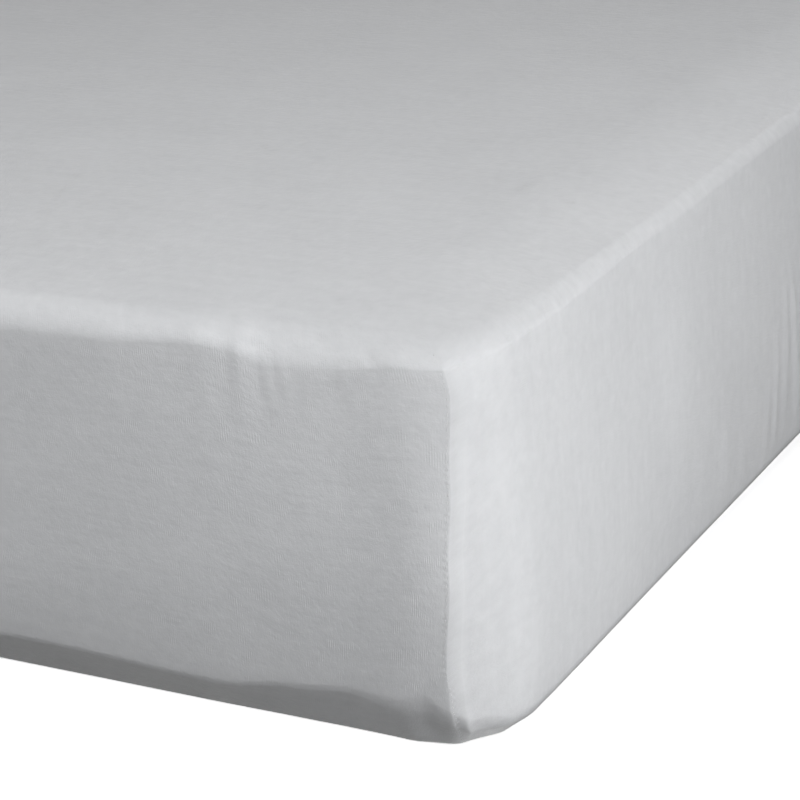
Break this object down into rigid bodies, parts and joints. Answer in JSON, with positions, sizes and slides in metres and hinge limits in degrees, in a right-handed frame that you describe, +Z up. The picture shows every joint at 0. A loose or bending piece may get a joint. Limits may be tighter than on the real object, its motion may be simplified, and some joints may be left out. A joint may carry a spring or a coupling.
{
  "type": "fitted sheet on mattress",
  "caption": "Light grey fitted sheet with sewn corners, stretched over a plain mattress and drawn in under its lower edge by the hem.",
  "frame": {"origin": "on the bed base under the middle of the mattress, at the height of the cloth's underside", "axes": "+X across the bed, +Y along the bed away from the short end seen closest, +Z up; the corner seen closest is at +X, -Y"},
  "size_m": [1.4177, 2.014, 0.2415],
  "materials": {
    "sheet_cloth": "soft brushed light grey cotton knit",
    "mattress_ticking": "plain off-white woven ticking"
  },
  "bodies": {
    "root": {"fitted_sheet": "sheet_cloth", "mattress": "mattress_ticking"}
  },
  "joints": []
}
